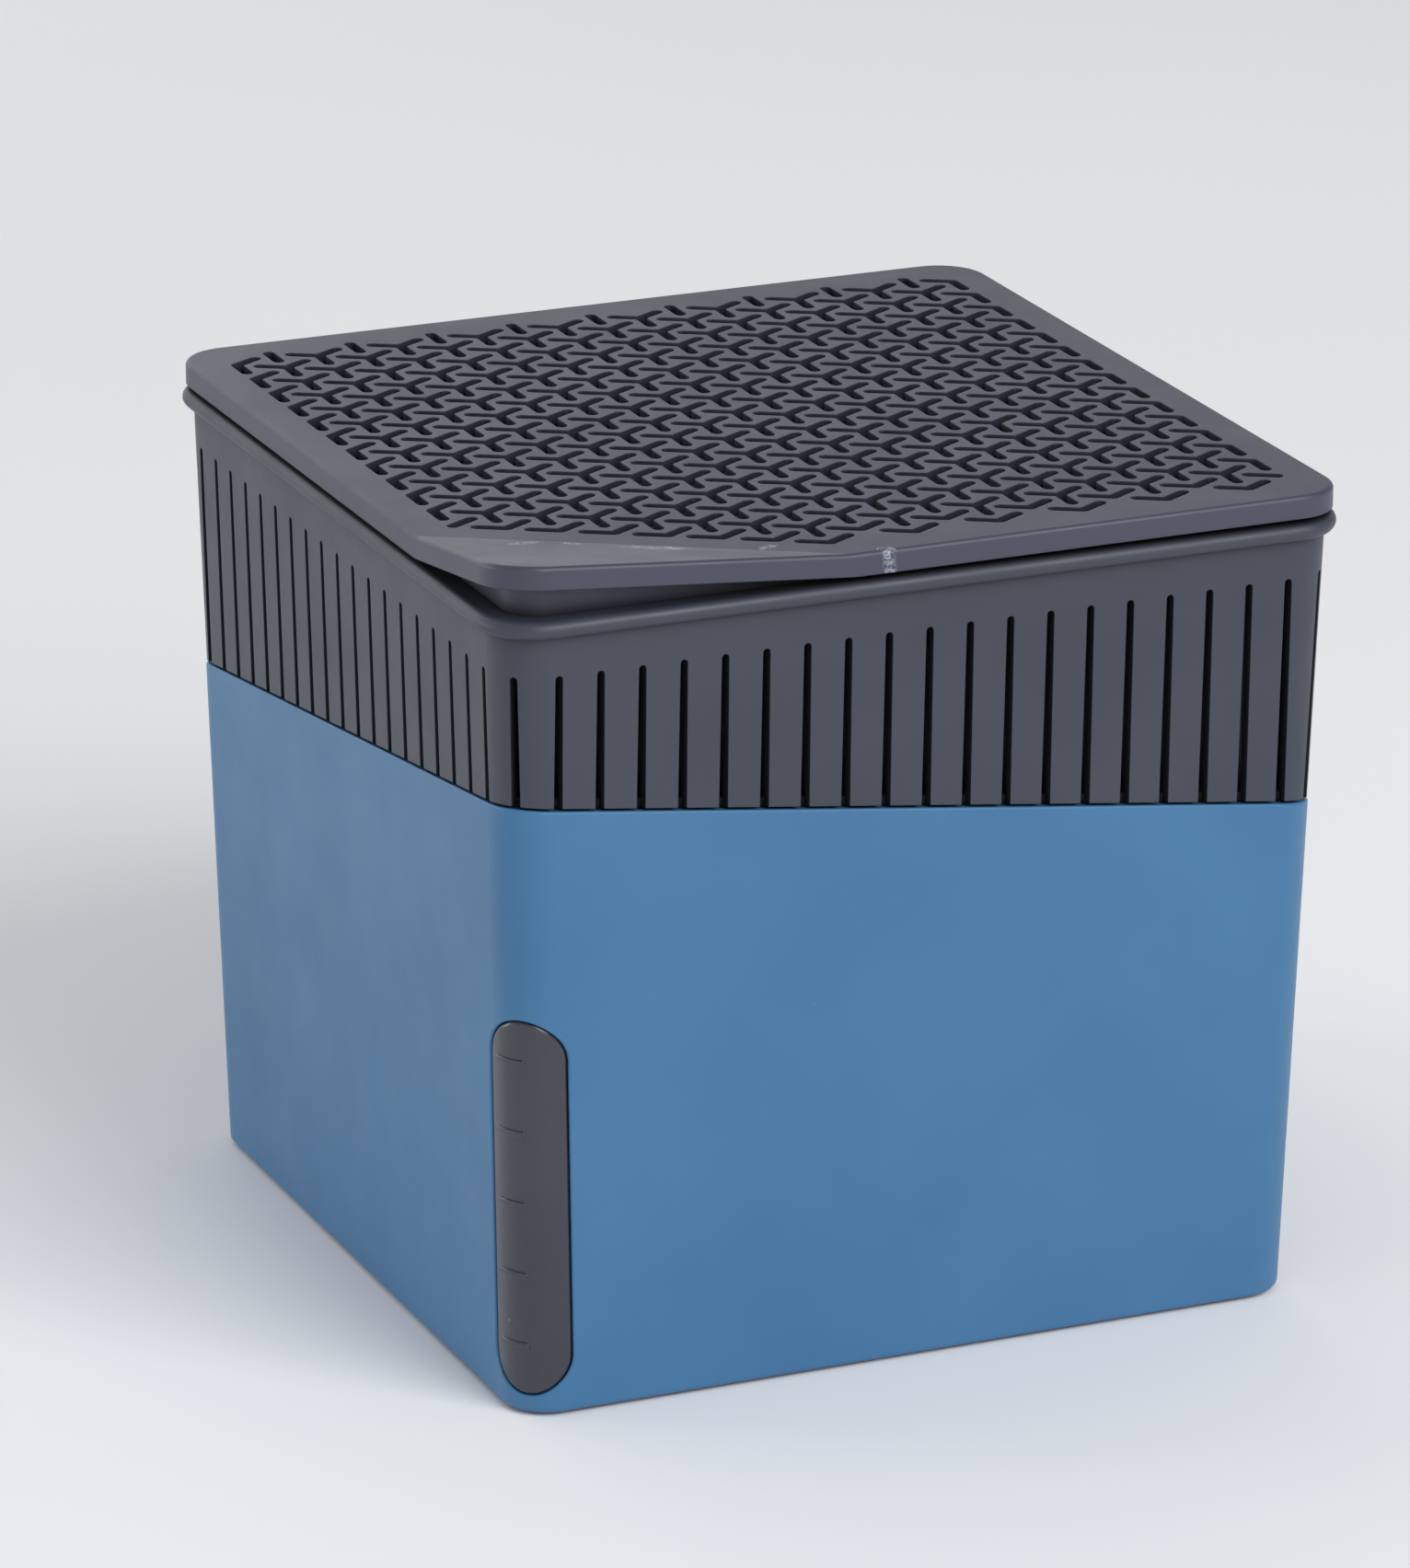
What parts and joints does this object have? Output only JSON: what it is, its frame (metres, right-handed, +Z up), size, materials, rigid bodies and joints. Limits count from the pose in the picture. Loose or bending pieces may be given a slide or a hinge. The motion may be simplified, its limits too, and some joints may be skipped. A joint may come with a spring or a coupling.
{
  "type": "dehumidifier",
  "caption": "Passive moisture absorber cube: blue tank shell with a corner level window, slatted grey band, and a lid with three-armed slots and one raised corner.",
  "frame": {"origin": "middle of the footprint, on the surface it stands on", "axes": "+Z up; the corner with the level window and the raised lid corner is towards -X and -Y"},
  "size_m": [0.1652, 0.1652, 0.1605],
  "materials": {
    "blue_shell": "fine moulded grain, satin",
    "smoked_tank": "smoked, satin",
    "dark_grey_band": "fine moulded grain, matte",
    "dark_tray": "matte",
    "bag_cloth": "non-woven, matte, dark",
    "granulate": "pressed salt granulate",
    "grey_lid": "fine moulded grain, matte"
  },
  "bodies": {
    "base": {"outer_shell": "blue_shell", "inner_tank": "smoked_tank"},
    "vent_housing": {"vent_housing": "dark_grey_band"},
    "block_tray": {"block_tray": "dark_tray"},
    "refill": {"refill_bag": "bag_cloth", "granulate_block": "granulate"},
    "lid": {"lid": "grey_lid"}
  },
  "joints": [
    {"name": "vent_housing_lift", "type": "slide", "parent": "base", "child": "vent_housing", "axis": [0, 0, 1], "range_m": [0, 0.06]},
    {"name": "block_tray_lift", "type": "slide", "parent": "vent_housing", "child": "block_tray", "axis": [0, 0, 1], "range_m": [0, 0.075]},
    {"name": "refill_lift", "type": "slide", "parent": "block_tray", "child": "refill", "axis": [0, 0, 1], "range_m": [0, 0.065]},
    {"name": "lid_lift", "type": "slide", "parent": "refill", "child": "lid", "axis": [0, 0, 1], "range_m": [0, 0.06]}
  ]
}
